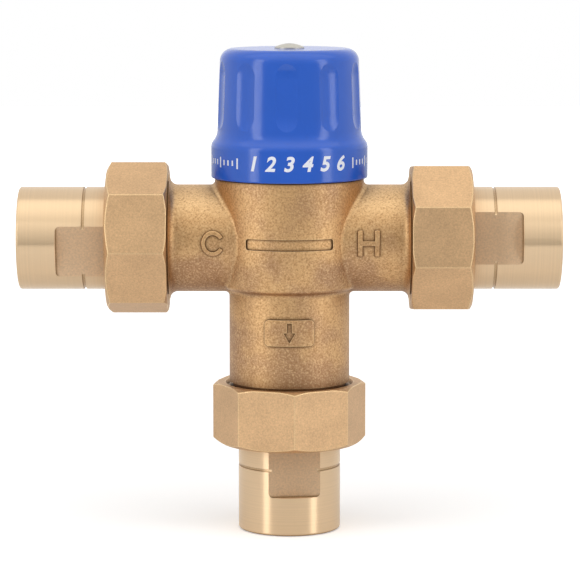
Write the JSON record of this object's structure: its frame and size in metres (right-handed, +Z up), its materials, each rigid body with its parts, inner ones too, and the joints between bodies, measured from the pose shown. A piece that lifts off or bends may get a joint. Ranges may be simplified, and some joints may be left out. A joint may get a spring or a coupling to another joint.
{
  "type": "thermostatic mixing valve",
  "caption": "Cast bronze mixing valve with a fluted blue lock-shield cap and eight-sided union nuts holding solder tailpieces.",
  "frame": {"origin": "centre of the outlet tailpiece's end face, on which the valve stands", "axes": "+Z up through the cap, +X along the hot inlet, front of the casting faces -Y"},
  "size_m": [0.145, 0.042, 0.1312],
  "materials": {
    "cast_bronze": "as cast",
    "satin_brass": "satin",
    "turned_brass": "turned",
    "blue_plastic": "moulded",
    "bright_steel": "satin",
    "black_rubber": "matt",
    "fibre_gasket": "matt",
    "white_plastic": "moulded",
    "black_plastic": "moulded",
    "copper": "drawn"
  },
  "bodies": {
    "valve": {"valve_body": "cast_bronze", "bonnet": "turned_brass", "bonnet_seal": "black_rubber", "return_spring": "bright_steel", "cold_check_cage": "white_plastic", "cold_check_spider": "white_plastic", "cold_check_spring": "bright_steel", "cold_cage_seal": "black_rubber", "cold_strainer": "bright_steel", "hot_check_cage": "white_plastic", "hot_check_spider": "white_plastic", "hot_check_spring": "bright_steel", "hot_cage_seal": "black_rubber", "hot_strainer": "bright_steel"},
    "cap": {"cap": "blue_plastic"},
    "cap_screw": {"cap_screw": "bright_steel"},
    "spindle": {"spindle": "turned_brass", "spindle_seal_lower": "black_rubber", "spindle_seal_upper": "black_rubber", "spindle_clip": "bright_steel"},
    "plunger": {"plunger": "turned_brass", "overload_spring": "bright_steel", "spring_cup": "turned_brass", "cup_clip": "bright_steel", "element_pin": "bright_steel"},
    "regulator": {"shuttle": "black_plastic", "shuttle_seal": "black_rubber", "wax_element": "copper", "element_clip": "bright_steel"},
    "cold_poppet": {"cold_poppet": "white_plastic", "cold_poppet_seal": "black_rubber"},
    "hot_poppet": {"hot_poppet": "white_plastic", "hot_poppet_seal": "black_rubber"},
    "cold_tail": {"cold_gasket": "fibre_gasket", "cold_tail": "turned_brass"},
    "cold_nut": {"cold_nut": "satin_brass"},
    "hot_tail": {"hot_gasket": "fibre_gasket", "hot_tail": "turned_brass"},
    "hot_nut": {"hot_nut": "satin_brass"},
    "outlet_tail": {"outlet_gasket": "fibre_gasket", "outlet_tail": "turned_brass"},
    "outlet_nut": {"outlet_nut": "satin_brass"}
  },
  "joints": [
    {"name": "cap_lift", "type": "slide", "parent": "valve", "child": "cap", "axis": [0, 0, 1], "range_m": [0, 0.036]},
    {"name": "cap_screw_turn", "type": "hinge", "parent": "cap", "child": "cap_screw", "pos_m": [0, 0, 0.13], "axis": [0, 0, 1], "range_deg": [0, 2880]},
    {"name": "spindle_turn", "type": "hinge", "parent": "valve", "child": "spindle", "pos_m": [0, 0, 0.11], "axis": [0, 0, 1], "range_deg": [-220, 220]},
    {"name": "plunger_slide", "type": "slide", "parent": "valve", "child": "plunger", "axis": [0, 0, 1], "range_m": [-0.0009, 0.0009]},
    {"name": "regulator_slide", "type": "slide", "parent": "plunger", "child": "regulator", "axis": [0, 0, 1], "range_m": [-0.0005, 0.0005], "stiffness_N_per_m": 3000, "deforming": ["return_spring"]},
    {"name": "cold_check_slide", "type": "slide", "parent": "valve", "child": "cold_poppet", "axis": [1, 0, 0], "range_m": [0, 0.003], "stiffness_N_per_m": 150, "springref_m": -0.004, "deforming": ["cold_check_spring"]},
    {"name": "hot_check_slide", "type": "slide", "parent": "valve", "child": "hot_poppet", "axis": [-1, 0, 0], "range_m": [0, 0.003], "stiffness_N_per_m": 150, "springref_m": -0.004, "deforming": ["hot_check_spring"]},
    {"name": "cold_tail_slide", "type": "slide", "parent": "valve", "child": "cold_tail", "axis": [-1, 0, 0], "range_m": [0, 0.0085]},
    {"name": "cold_nut_turn", "type": "hinge", "parent": "cold_tail", "child": "cold_nut", "pos_m": [-0.0414, 0, 0.0791], "axis": [-1, 0, 0], "range_deg": [0, 1325]},
    {"name": "hot_tail_slide", "type": "slide", "parent": "valve", "child": "hot_tail", "axis": [1, 0, 0], "range_m": [0, 0.0085]},
    {"name": "hot_nut_turn", "type": "hinge", "parent": "hot_tail", "child": "hot_nut", "pos_m": [0.0414, 0, 0.0791], "axis": [1, 0, 0], "range_deg": [0, 1325]},
    {"name": "outlet_tail_slide", "type": "slide", "parent": "valve", "child": "outlet_tail", "axis": [0, 0, -1], "range_m": [0, 0.0085]},
    {"name": "outlet_nut_turn", "type": "hinge", "parent": "outlet_tail", "child": "outlet_nut", "pos_m": [0, 0, 0.0311], "axis": [0, 0, -1], "range_deg": [0, 1325]}
  ],
  "couplings": [
    {"joint": "spindle_turn", "follows": "plunger_slide", "rad_per_m": -4188.8},
    {"joint": "cold_tail_slide", "follows": "cold_nut_turn", "m_per_rad": 0.00036749},
    {"joint": "hot_tail_slide", "follows": "hot_nut_turn", "m_per_rad": 0.00036749},
    {"joint": "outlet_tail_slide", "follows": "outlet_nut_turn", "m_per_rad": 0.00036749}
  ]
}
